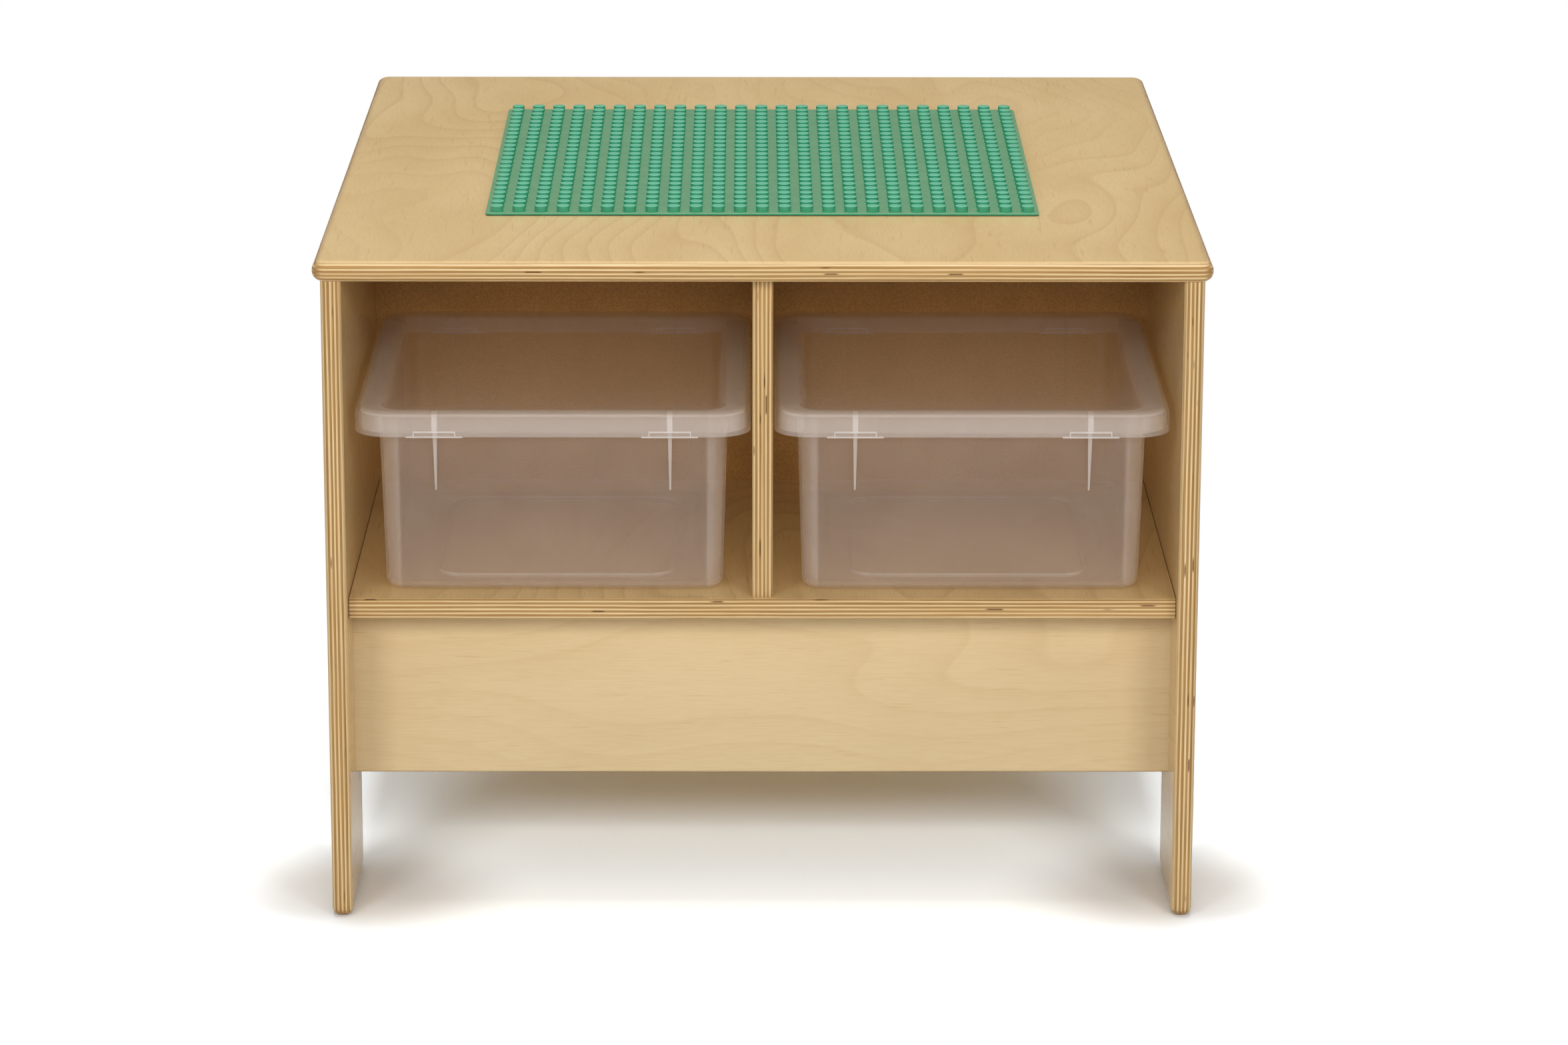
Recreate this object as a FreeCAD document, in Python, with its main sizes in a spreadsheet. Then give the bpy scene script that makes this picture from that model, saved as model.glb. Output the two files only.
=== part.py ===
import FreeCAD, Part
import math
import os
import re

import Sketcher

# A building block table for small children, in millimetres.
# The origin is on the floor under the middle of the top. +Z is up, +X is to the right of
# someone who faces the front, and the front faces -Y. The rear half mirrors the front half.

SIZES = {
    # Boards of the table
    "ply_thickness": 14.5,
    "top_width": 628,
    "top_depth": 715,
    "table_height": 482,
    "top_corner_radius": 10,
    "top_edge_radius": 6.8,
    "top_overhang": 5.5,
    "leg_depth": 120,
    "leg_corner_radius": 8,
    "arch_height": 110,
    "arch_corner_radius": 25,
    "panel_edge_radius": 5.5,
    "shelf_height": 233,
    "shelf_setback": 17,
    "shelf_edge_radius": 1.5,
    "apron_height": 128,
    "apron_setback": 59,
    "apron_edge_radius": 2,
    "divider_setback": 22,
    "divider_edge_radius": 2.5,
    "hardboard_thickness": 5,
    "groove_depth": 4,
    "groove_clearance": 0.2,
    # Dowels
    "dowel_radius": 4,
    "dowel_length": 30,
    "dowel_chamfer": 1,
    "dowel_cover": 4.2,
    "dowel_glue_gap": 0.1,
    "dowel_end_gap": 0.8,
    # Building plate
    "stud_pitch": 16,
    "stud_count": 25,
    "stud_radius": 4.7,
    "stud_height": 4.5,
    "stud_chamfer": 0.5,
    "plate_thickness": 2,
    "plate_corner_radius": 2,
    "plate_gate_radius": 2.5,
    "plate_gate_height": 0.3,
    # Tubs
    "tub_draft": 4,
    "tub_height": 133.5,
    "tub_corner_radius": 18,
    "tub_foot_radius": 9,
    "tub_wall": 2,
    "rim_reach": 12.9,
    "rim_thickness": 2,
    "rim_lip_wall": 1.6,
    "rim_lip_height": 13,
    "floor_panel_inset": 35,
    "floor_panel_rise": 1.5,
    "rib_spacing": 166,
    "rib_length": 56,
    "rib_top_width": 3.3,
    "rib_foot_width": 1.3,
    "rib_lip_gap": 2.3,
    "rib_foot_reach": 1,
    # Lids
    "lid_height": 17.5,
    "lid_corner_radius": 25,
    "lid_edge_radius": 6,
    "lid_wall": 1.9,
    "lid_clearance": 1.2,
    "lid_gate_radius": 5,
    "lid_gate_core_radius": 2,
    "lid_gate_depth": 0.4,
    "tab_width": 30,
    "tab_height": 3.3,
    "tab_gap": 0.4,
    "tab_land_width": 40,
    "tab_land_drop": 0.6,
    # How the loose tubs and lids sit in their bays
    "seat_gap": 0.3,
    "lid_setback": 17,
    "lid_back_gap": 7.5,
    "lid_divider_gap": 1.2,
    "lid_panel_gap": 5.55,
    # How far a cut runs past what it cuts
    "overrun": 1,
}

# Where dowels stand along a joint, as shares of its length from its middle
TOP_DOWEL_SHARES = (-0.4, -0.15, 0.15, 0.4)
SHELF_DOWEL_SHARES = (-0.4, -0.15, 0.15, 0.4)
APRON_DOWEL_SHARES = (-0.28, 0.28)
DIVIDER_DOWEL_SHARES = (-0.3, 0.3)
# The plate's gate marks, as a share of its width from its middle
PLATE_GATE_SHARE = 0.26

# Sizes that follow from the driving ones
CARCASS_WIDTH = "(top_width - 2 * top_overhang)"
PANEL_DEPTH = "(top_depth - 2 * top_overhang)"
PANEL_HEIGHT = "(table_height - ply_thickness)"
INNER_WIDTH = f"({CARCASS_WIDTH} - 2 * ply_thickness)"
PANEL_MIDDLE = f"({CARCASS_WIDTH} / 2 - ply_thickness / 2)"
SHELF_DEPTH = f"({PANEL_DEPTH} - 2 * shelf_setback)"
SHELF_UNDERSIDE = "(shelf_height - ply_thickness)"
BAY_HEIGHT = f"({PANEL_HEIGHT} - shelf_height)"
APRON_FOOT = f"({SHELF_UNDERSIDE} - apron_height)"
APRON_MIDDLE = f"({PANEL_DEPTH} / 2 - apron_setback - ply_thickness / 2)"
DIVIDER_BACK = "(hardboard_thickness / 2 + groove_clearance)"
DIVIDER_LENGTH = f"({PANEL_DEPTH} / 2 - divider_setback - {DIVIDER_BACK})"
DIVIDER_MIDDLE = f"({DIVIDER_BACK} + {DIVIDER_LENGTH} / 2)"
DOWEL_FACE_DEPTH = "(ply_thickness - dowel_cover - dowel_end_gap)"
PLATE_WIDTH = "(stud_pitch * stud_count)"
LID_WIDTH = f"({INNER_WIDTH} / 2 - ply_thickness / 2 - lid_divider_gap - lid_panel_gap)"
LID_DEPTH = f"({PANEL_DEPTH} / 2 - hardboard_thickness / 2 - lid_back_gap - lid_setback)"
TAB_DEPTH = "(lid_clearance - tab_gap)"
RIM_WIDTH = f"({LID_WIDTH} - 2 * lid_wall - 2 * lid_clearance)"
RIM_DEPTH = f"({LID_DEPTH} - 2 * lid_wall - 2 * lid_clearance)"
RIM_CORNER = "(lid_corner_radius - lid_wall - lid_clearance)"
TUB_TOP_WIDTH = f"({RIM_WIDTH} - 2 * rim_reach)"
TUB_TOP_DEPTH = f"({RIM_DEPTH} - 2 * rim_reach)"
RIB_TOP_REACH = "(rim_reach - rim_lip_wall - rib_lip_gap)"
TUB_X = f"(ply_thickness / 2 + lid_divider_gap + {LID_WIDTH} / 2)"
TUB_Y = f"({PANEL_DEPTH} / 2 - lid_setback - {LID_DEPTH} / 2)"
TUB_Z = "(shelf_height + seat_gap)"
LID_Z = f"({TUB_Z} + tub_height + seat_gap + lid_wall - lid_height)"

UP = FreeCAD.Vector(0, 0, 1)
SAME_PLACE_TOLERANCE = 1e-5
CUBIC_MM_IN_CM3 = 1000

doc = FreeCAD.newDocument("building_block_table")
sheet = doc.addObject("Spreadsheet::Sheet", "sizes")
for row, (size_name, number) in enumerate(SIZES.items(), start=1):
    sheet.set(f"A{row}", size_name)
    sheet.set(f"B{row}", str(number))
    sheet.setAlias(f"B{row}", size_name)
doc.recompute()

nodes = []


# Expressions on the sheet


def in_sheet(text):
    """Put the sheet's name before every size that an expression names."""
    return re.sub(r"[a-z_]+", lambda word: f"sizes.{word[0]}" if word[0] in SIZES else word[0], text)


def value(text):
    """The number that an expression has now."""
    return float(sheet.evalExpression(in_sheet(text)))


def bind(item, path, text):
    """Tie one property of an object to an expression."""
    item.setExpression(path, in_sheet(text))


def place(item, x="0", y="0", z="0"):
    """Tie an object's position to three expressions."""
    for axis, text in zip("xyz", (x, y, z)):
        bind(item, f"Placement.Base.{axis}", text)


# Sketches


def new_body(name):
    return doc.addObject("PartDesign::Body", name)


def origin_plane(body, role):
    return next(feature for feature in body.Origin.OriginFeatures if feature.Role == role)


def new_sketch(body, name, plane="XY_Plane", lift="0"):
    """A sketch on one of its body's origin planes, lifted along that plane's normal."""
    sketch = body.newObject("Sketcher::SketchObject", name)
    sketch.AttachmentSupport = [(origin_plane(body, plane), "")]
    sketch.MapMode = "FlatFace"
    bind(sketch, "AttachmentOffset.Base.z", lift)
    return sketch


def dimension(sketch, name, text, kind, *ends):
    """Add a named dimension to a sketch and tie it to an expression."""
    index = sketch.addConstraint(Sketcher.Constraint(kind, *ends, value(text)))
    sketch.renameConstraint(index, name)
    bind(sketch, f"Constraints.{name}", text)


def add_rectangle(sketch, tag, width, depth, radius=None, x="0", y="0"):
    """Draw a rectangle with its middle at x, y. With a radius, arcs round its corners."""
    left, right = value(f"{x} - {width} / 2"), value(f"{x} + {width} / 2")
    low, high = value(f"{y} - {depth} / 2"), value(f"{y} + {depth} / 2")
    corner = value(radius) if radius else 0
    sides_from_to = [
        (left + corner, low, right - corner, low),
        (right, low + corner, right, high - corner),
        (right - corner, high, left + corner, high),
        (left, high - corner, left, low + corner),
    ]
    sides = []
    for x1, y1, x2, y2 in sides_from_to:
        line = Part.LineSegment(FreeCAD.Vector(x1, y1, 0), FreeCAD.Vector(x2, y2, 0))
        sides.append(sketch.addGeometry(line))
    next_sides = sides[1:] + sides[:1]
    if radius:
        round_corners(sketch, tag, sides, next_sides, radius, (left, right, low, high))
    else:
        for side, next_side in zip(sides, next_sides):
            sketch.addConstraint(Sketcher.Constraint("Coincident", side, 2, next_side, 1))
    for side, direction in zip(sides, ("Horizontal", "Vertical") * 2):
        sketch.addConstraint(Sketcher.Constraint(direction, side))
    dimension(sketch, f"{tag}_width", width, "DistanceX", sides[3], 1, sides[1], 1)
    dimension(sketch, f"{tag}_depth", depth, "DistanceY", sides[0], 1, sides[2], 1)
    dimension(sketch, f"{tag}_left", f"{x} - {width} / 2", "DistanceX", -1, 1, sides[3], 1)
    dimension(sketch, f"{tag}_low", f"{y} - {depth} / 2", "DistanceY", -1, 1, sides[0], 1)


def round_corners(sketch, tag, sides, next_sides, radius, limits):
    """Join the four sides of a rectangle with quarter circles of one radius."""
    left, right, low, high = limits
    corner = value(radius)
    quarter = math.pi / 2
    centres = [
        (right - corner, low + corner),
        (right - corner, high - corner),
        (left + corner, high - corner),
        (left + corner, low + corner),
    ]
    arcs = []
    for turn, (x, y) in enumerate(centres):
        circle = Part.Circle(FreeCAD.Vector(x, y, 0), UP, corner)
        arcs.append(sketch.addGeometry(Part.ArcOfCircle(circle, (turn - 1) * quarter, turn * quarter)))
    for side, arc, next_side in zip(sides, arcs, next_sides):
        sketch.addConstraint(Sketcher.Constraint("Tangent", side, 2, arc, 1))
        sketch.addConstraint(Sketcher.Constraint("Tangent", arc, 2, next_side, 1))
    for arc in arcs[1:]:
        sketch.addConstraint(Sketcher.Constraint("Equal", arcs[0], arc))
    dimension(sketch, f"{tag}_radius", radius, "Radius", arcs[0])


def add_circle(sketch, tag, radius, x="0", y="0"):
    """Draw a circle with its middle at x, y."""
    centre = FreeCAD.Vector(value(x), value(y), 0)
    circle = sketch.addGeometry(Part.Circle(centre, UP, value(radius)))
    dimension(sketch, f"{tag}_radius", radius, "Radius", circle)
    dimension(sketch, f"{tag}_x", x, "DistanceX", -1, 1, circle, 3)
    dimension(sketch, f"{tag}_y", y, "DistanceY", -1, 1, circle, 3)


def add_outline(sketch, points):
    """Draw a closed outline of straight lines through points given as expressions."""
    corners = [FreeCAD.Vector(value(x), value(y), 0) for x, y in points]
    lines = [
        sketch.addGeometry(Part.LineSegment(corner, next_corner))
        for corner, next_corner in zip(corners, corners[1:] + corners[:1])
    ]
    for line, next_line in zip(lines, lines[1:] + lines[:1]):
        sketch.addConstraint(Sketcher.Constraint("Coincident", line, 2, next_line, 1))
    for line, (x, y) in zip(lines, points):
        dimension(sketch, f"corner_{line}_x", x, "DistanceX", -1, 1, line, 1)
        dimension(sketch, f"corner_{line}_y", y, "DistanceY", -1, 1, line, 1)


# Features


def pad(body, sketch, length, downwards=False, taper="0"):
    """Raise a sketch into the body. With a taper, its walls lean outwards."""
    feature = body.newObject("PartDesign::Pad", f"{sketch.Name}_pad")
    feature.Profile = sketch
    bind(feature, "Length", length)
    bind(feature, "TaperAngle", taper)
    feature.Reversed = downwards
    doc.recompute()
    return feature


def pocket(body, sketch, depth, along_normal, taper="0"):
    """Cut a sketch into the body, and stop if nothing was cut. With a taper, the cut widens."""
    before = body.Tip.Shape.Volume
    feature = body.newObject("PartDesign::Pocket", f"{sketch.Name}_pocket")
    feature.Profile = sketch
    bind(feature, "Length", depth)
    bind(feature, "TaperAngle", taper)
    feature.Reversed = along_normal
    doc.recompute()
    if not feature.Shape.Volume < before:
        raise RuntimeError(f"{feature.Name} cuts nothing")
    return feature


def loft(body, lower, upper):
    """Join two sketches with straight walls."""
    feature = body.newObject("PartDesign::AdditiveLoft", f"{lower.Name}_loft")
    feature.Profile = lower
    feature.Sections = [upper]
    feature.Ruled = True
    doc.recompute()
    return feature


def fillet(body, radius, wanted):
    """Round the edges of the body that a test picks."""
    base = body.Tip
    edges = [f"Edge{i}" for i, edge in enumerate(base.Shape.Edges, start=1) if wanted(edge)]
    feature = body.newObject("PartDesign::Fillet", f"{body.Name}_fillet")
    feature.Base = (base, edges)
    bind(feature, "Radius", radius)
    doc.recompute()
    return feature


def low_high(edge, axis):
    """How far an edge reaches along an axis."""
    box = edge.BoundBox
    return getattr(box, f"{axis}Min"), getattr(box, f"{axis}Max")


def lies_at(edge, axis, place_on_axis):
    """Whether all of an edge lies at one place along an axis."""
    return all(math.isclose(end, place_on_axis, abs_tol=SAME_PLACE_TOLERANCE) for end in low_high(edge, axis))


def is_level(edge, axis):
    """Whether an edge stays at one place along an axis."""
    low, high = low_high(edge, axis)
    return math.isclose(low, high, abs_tol=SAME_PLACE_TOLERANCE)


def runs_along(edge, axis):
    """Whether an edge is straight and runs along an axis."""
    return all(is_level(edge, other) for other in "XYZ" if other != axis)


def finish(item, name):
    """Name a finished sub-part after its node and keep it for writing."""
    item.Label = name
    nodes.append(item)
    return item


# Dowels, and what is cut away for the joints


def dowel_bodies():
    """One dowel with bevelled ends, and the longer, wider hole drilled for it, both along +Z."""
    peg = new_body("dowel")
    outline = new_sketch(peg, "dowel_outline", "XZ_Plane")
    add_outline(
        outline,
        [
            ("0", "0"),
            ("dowel_radius - dowel_chamfer", "0"),
            ("dowel_radius", "dowel_chamfer"),
            ("dowel_radius", "dowel_length - dowel_chamfer"),
            ("dowel_radius - dowel_chamfer", "dowel_length"),
            ("0", "dowel_length"),
        ],
    )
    turned = peg.newObject("PartDesign::Revolution", "dowel_turned")
    turned.Profile = outline
    turned.ReferenceAxis = (outline, ["V_Axis"])
    hole = doc.addObject("Part::Cylinder", "dowel_hole")
    bind(hole, "Radius", "dowel_radius + dowel_glue_gap")
    bind(hole, "Height", "dowel_length + 2 * dowel_end_gap")
    return peg, hole


TURNS = {
    "+X": FreeCAD.Rotation(UP, FreeCAD.Vector(1, 0, 0)),
    "-X": FreeCAD.Rotation(UP, FreeCAD.Vector(-1, 0, 0)),
    "+Z": FreeCAD.Rotation(),
    "-Z": FreeCAD.Rotation(UP, FreeCAD.Vector(0, 0, -1)),
}


def linked(item, name, way, point, setback):
    """A copy of an item that points a given way and starts a setback before a point."""
    copy = doc.addObject("App::Link", name)
    copy.LinkedObject = item
    copy.Placement = FreeCAD.Placement(FreeCAD.Vector(), TURNS[way])
    sign, axis = way
    back = "-" if sign == "+" else "+"
    x, y, z = (text if name_of_axis != axis else f"{text} {back} {setback}"
               for name_of_axis, text in zip("XYZ", point))
    place(copy, x, y, z)
    return copy


def dowel_places():
    """For each group of dowels, the way each one points and where it crosses its joint.

    Each dowel starts in the face of one board and points into the edge of the other.
    """
    groups = {"top_dowels": [], "shelf_dowels": [], "apron_dowels": [], "divider_dowels": []}
    for side, inwards in (("-", "+X"), ("", "-X")):
        for share in TOP_DOWEL_SHARES:
            groups["top_dowels"].append(
                ("-Z", (f"{side}{PANEL_MIDDLE}", f"{share} * {PANEL_DEPTH}", PANEL_HEIGHT)))
        for share in SHELF_DOWEL_SHARES:
            groups["shelf_dowels"].append(
                (inwards, (f"{side}{INNER_WIDTH} / 2", f"{share} * {SHELF_DEPTH}",
                           "shelf_height - ply_thickness / 2")))
        for face in ("-", ""):
            for share in APRON_DOWEL_SHARES:
                groups["apron_dowels"].append(
                    (inwards, (f"{side}{INNER_WIDTH} / 2", f"{face}{APRON_MIDDLE}",
                               f"{APRON_FOOT} + apron_height / 2 + {share} * apron_height")))
    for face in ("-", ""):
        for share in DIVIDER_DOWEL_SHARES:
            along = f"{face}{DIVIDER_MIDDLE} + {share} * {DIVIDER_LENGTH}"
            groups["divider_dowels"].append(("-Z", ("0", along, PANEL_HEIGHT)))
            groups["divider_dowels"].append(("+Z", ("0", along, "shelf_height")))
    return groups


def make_joinery():
    """Make the dowel groups, and one compound of all that is cut out of the boards for the joints."""
    peg, hole = dowel_bodies()
    holes = []
    for group, places in dowel_places().items():
        pegs = []
        for number, (way, point) in enumerate(places, start=1):
            pegs.append(linked(peg, f"{group}_{number}", way, point, DOWEL_FACE_DEPTH))
            holes.append(linked(hole, f"{group}_hole_{number}", way, point,
                                f"({DOWEL_FACE_DEPTH} + dowel_end_gap)"))
        compound = doc.addObject("Part::Compound", group)
        compound.Links = pegs
        finish(compound, group)
    groove = doc.addObject("Part::Box", "hardboard_groove")
    bind(groove, "Length", f"{INNER_WIDTH} + 2 * groove_depth")
    bind(groove, "Width", "hardboard_thickness + 2 * groove_clearance")
    bind(groove, "Height", f"{BAY_HEIGHT} + 2 * groove_depth")
    place(groove, f"-{INNER_WIDTH} / 2 - groove_depth", "-hardboard_thickness / 2 - groove_clearance",
          "shelf_height - groove_depth")
    cuts = doc.addObject("Part::Compound", "joint_cuts")
    cuts.Links = holes + [groove]
    return cuts


def finish_board(body, cuts, name):
    """Cut the joints' holes and groove into a board."""
    board = doc.addObject("Part::Cut", f"{name}_jointed")
    board.Base = body
    board.Tool = cuts
    finish(board, name)


# Boards


def make_top(cuts):
    body = new_body("top_board")
    outline = new_sketch(body, "top_outline")
    add_rectangle(outline, "top", "top_width", "top_depth", "top_corner_radius")
    pad(body, outline, "ply_thickness")
    fillet(body, "top_edge_radius", lambda edge: is_level(edge, "Z"))
    place(body, z=PANEL_HEIGHT)
    finish_board(body, cuts, "table_top")


def make_side_panel(name, left_face, cuts):
    """A side panel with a low arch that leaves a leg at the front and one at the rear."""
    body = new_body(f"{name}_board")
    outline = new_sketch(body, f"{name}_outline", "YZ_Plane")
    add_rectangle(outline, "panel", PANEL_DEPTH, PANEL_HEIGHT, y=f"{PANEL_HEIGHT} / 2")
    pad(body, outline, "ply_thickness")
    arch = new_sketch(body, f"{name}_arch", "YZ_Plane")
    add_rectangle(arch, "arch", f"({PANEL_DEPTH} - 2 * leg_depth)", "(arch_height + overrun)",
                  y="(arch_height - overrun) / 2")
    pocket(body, arch, "ply_thickness", along_normal=True)
    fillet(body, "leg_corner_radius", lambda edge: runs_along(edge, "X") and lies_at(edge, "Z", 0))
    arch_top = value("arch_height")
    fillet(body, "arch_corner_radius",
           lambda edge: runs_along(edge, "X") and lies_at(edge, "Z", arch_top))
    panel_top = value(PANEL_HEIGHT)
    fillet(body, "panel_edge_radius",
           lambda edge: is_level(edge, "X") and not lies_at(edge, "Z", panel_top))
    place(body, x=left_face)
    finish_board(body, cuts, name)


def make_shelf(cuts):
    body = new_body("shelf_board")
    outline = new_sketch(body, "shelf_outline")
    add_rectangle(outline, "shelf", INNER_WIDTH, SHELF_DEPTH)
    pad(body, outline, "ply_thickness")
    fillet(body, "shelf_edge_radius", lambda edge: runs_along(edge, "X"))
    place(body, z=SHELF_UNDERSIDE)
    finish_board(body, cuts, "shelf")


def make_apron(name, middle, cuts):
    body = new_body(f"{name}_board")
    outline = new_sketch(body, f"{name}_outline")
    add_rectangle(outline, "apron", INNER_WIDTH, "ply_thickness")
    pad(body, outline, "apron_height")
    fillet(body, "apron_edge_radius", lambda edge: runs_along(edge, "X") and lies_at(edge, "Z", 0))
    place(body, y=middle, z=APRON_FOOT)
    finish_board(body, cuts, name)


def make_divider(name, side, cuts):
    """An upright divider whose outer end, on the given side of the middle, is rounded."""
    body = new_body(f"{name}_board")
    outline = new_sketch(body, f"{name}_outline")
    add_rectangle(outline, "divider", "ply_thickness", DIVIDER_LENGTH)
    pad(body, outline, BAY_HEIGHT)
    outer_end = value(f"{side}{DIVIDER_LENGTH} / 2")
    fillet(body, "divider_edge_radius",
           lambda edge: runs_along(edge, "Z") and lies_at(edge, "Y", outer_end))
    place(body, y=f"{side}{DIVIDER_MIDDLE}", z="shelf_height")
    finish_board(body, cuts, name)


def make_center_panel():
    """The hardboard sheet that stands in the groove all round."""
    body = new_body("hardboard_sheet")
    outline = new_sketch(body, "hardboard_outline")
    add_rectangle(outline, "sheet", f"({INNER_WIDTH} + 2 * groove_depth - 2 * groove_clearance)",
                  "hardboard_thickness")
    pad(body, outline, f"{BAY_HEIGHT} + 2 * groove_depth - 2 * groove_clearance")
    place(body, z="shelf_height - groove_depth + groove_clearance")
    finish(body, "center_panel")


# Building plate


def make_baseplate():
    """A thin plate with a square grid of studs and four small gate marks."""
    body = new_body("plate")
    outline = new_sketch(body, "plate_outline")
    add_rectangle(outline, "plate", PLATE_WIDTH, PLATE_WIDTH, "plate_corner_radius")
    pad(body, outline, "plate_thickness")
    gates = new_sketch(body, "plate_gates")
    for across in ("-", ""):
        for along in ("-", ""):
            tag = f"gate_{'left' if across else 'right'}_{'front' if along else 'rear'}"
            add_circle(gates, tag, "plate_gate_radius", f"{across}{PLATE_GATE_SHARE} * {PLATE_WIDTH}",
                       f"{along}{PLATE_GATE_SHARE} * {PLATE_WIDTH}")
    pad(body, gates, "plate_thickness + plate_gate_height")
    first = f"(stud_pitch / 2 - {PLATE_WIDTH} / 2)"
    stud = new_sketch(body, "stud_outline", "XZ_Plane", f"-{first}")
    stud_top = "plate_thickness + stud_height"
    add_outline(
        stud,
        [
            (first, "plate_thickness / 2"),
            (f"{first} + stud_radius", "plate_thickness / 2"),
            (f"{first} + stud_radius", f"{stud_top} - stud_chamfer"),
            (f"{first} + stud_radius - stud_chamfer", stud_top),
            (first, stud_top),
        ],
    )
    turned = body.newObject("PartDesign::Revolution", "stud_turned")
    turned.Profile = stud
    turned.ReferenceAxis = (stud, ["Edge5"])
    doc.recompute()
    grid = body.newObject("PartDesign::MultiTransform", "stud_grid")
    grid.Originals = [turned]
    ways = []
    for name, axis in (("studs_across", "H_Axis"), ("studs_along", "V_Axis")):
        way = body.newObject("PartDesign::LinearPattern", name)
        way.Direction = (outline, [axis])
        bind(way, "Length", "stud_pitch * (stud_count - 1)")
        bind(way, "Occurrences", "stud_count")
        ways.append(way)
    grid.Transformations = ways
    body.Tip = grid
    place(body, z="table_height")
    finish(body, "baseplate")


# Tubs and lids


def make_tub(name, x, y):
    """A box with sloping walls, a rim with a turned-down lip, and ribs under the rim."""
    body = new_body(f"{name}_body")
    foot_width = f"({TUB_TOP_WIDTH} - 2 * tub_draft)"
    foot_depth = f"({TUB_TOP_DEPTH} - 2 * tub_draft)"
    slope = "atan(tub_draft / tub_height)"
    foot = new_sketch(body, f"{name}_foot")
    add_rectangle(foot, "foot", foot_width, foot_depth, "(tub_corner_radius - tub_draft)")
    pad(body, foot, "tub_height", taper=slope)

    rim = new_sketch(body, f"{name}_rim", lift="tub_height")
    add_rectangle(rim, "rim", RIM_WIDTH, RIM_DEPTH, RIM_CORNER)
    pad(body, rim, "rim_lip_height", downwards=True)
    rim_top = value("tub_height")
    fillet(body, "lid_edge_radius - lid_wall - lid_clearance", lambda edge: lies_at(edge, "Z", rim_top))
    under_rim = new_sketch(body, f"{name}_under_rim", lift="tub_height - rim_thickness")
    add_rectangle(under_rim, "lip", f"({RIM_WIDTH} - 2 * rim_lip_wall)", f"({RIM_DEPTH} - 2 * rim_lip_wall)",
                  f"({RIM_CORNER} - rim_lip_wall)")
    add_rectangle(under_rim, "wall", TUB_TOP_WIDTH, TUB_TOP_DEPTH, "tub_corner_radius")
    pocket(body, under_rim, "rim_lip_height - rim_thickness", along_normal=False)

    opening = new_sketch(body, f"{name}_opening", lift="tub_height")
    add_rectangle(opening, "opening", f"({TUB_TOP_WIDTH} - 2 * tub_wall)",
                  f"({TUB_TOP_DEPTH} - 2 * tub_wall)", "(tub_corner_radius - tub_wall)")
    pocket(body, opening, "tub_height - tub_wall", along_normal=False, taper=f"-{slope}")
    floor_height = value("tub_wall")
    fillet(body, "tub_foot_radius - tub_wall", lambda edge: lies_at(edge, "Z", floor_height))
    fillet(body, "tub_foot_radius", lambda edge: lies_at(edge, "Z", 0))

    panel_width = f"({foot_width} - 2 * floor_panel_inset)"
    panel_depth = f"({foot_depth} - 2 * floor_panel_inset)"
    raised = new_sketch(body, f"{name}_raised_floor", lift="tub_wall")
    add_rectangle(raised, "raised", panel_width, panel_depth, "tub_corner_radius")
    pad(body, raised, "floor_panel_rise")
    hollow = new_sketch(body, f"{name}_foot_hollow")
    add_rectangle(hollow, "hollow", f"({panel_width} - 2 * tub_wall)", f"({panel_depth} - 2 * tub_wall)",
                  "(tub_corner_radius - tub_wall)")
    pocket(body, hollow, "floor_panel_rise", along_normal=True)

    add_ribs(body, name)
    place(body, x, y, TUB_Z)
    finish(body, name)


def add_ribs(body, name):
    """A tapered rib from the rim down the wall, mirrored to make two at the front and two at the rear."""
    rib_foot_height = "(tub_height - rim_thickness - rib_length)"
    wall_at_foot = f"({TUB_TOP_DEPTH} / 2 - tub_draft * (1 - {rib_foot_height} / tub_height))"
    sections = (
        ("top", "tub_height - rim_thickness", "rib_top_width", RIB_TOP_REACH, f"{TUB_TOP_DEPTH} / 2"),
        ("foot", rib_foot_height, "rib_foot_width", "rib_foot_reach", wall_at_foot),
    )
    ends = []
    for end, height, width, reach, wall in sections:
        sketch = new_sketch(body, f"{name}_rib_{end}", lift=height)
        add_rectangle(sketch, "rib", width, f"({reach} + tub_wall / 2)", x="(rib_spacing / 2)",
                      y=f"({wall} + {reach} / 2 - tub_wall / 4)")
        ends.append(sketch)
    rib = loft(body, *ends)
    ribs = body.newObject("PartDesign::MultiTransform", f"{name}_ribs")
    ribs.Originals = [rib]
    mirrors = []
    for plane in ("YZ_Plane", "XZ_Plane"):
        mirror = body.newObject("PartDesign::Mirrored", f"{name}_rib_mirror_{plane}")
        mirror.MirrorPlane = (origin_plane(body, plane), [""])
        mirrors.append(mirror)
    ribs.Transformations = mirrors
    body.Tip = ribs
    doc.recompute()


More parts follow.
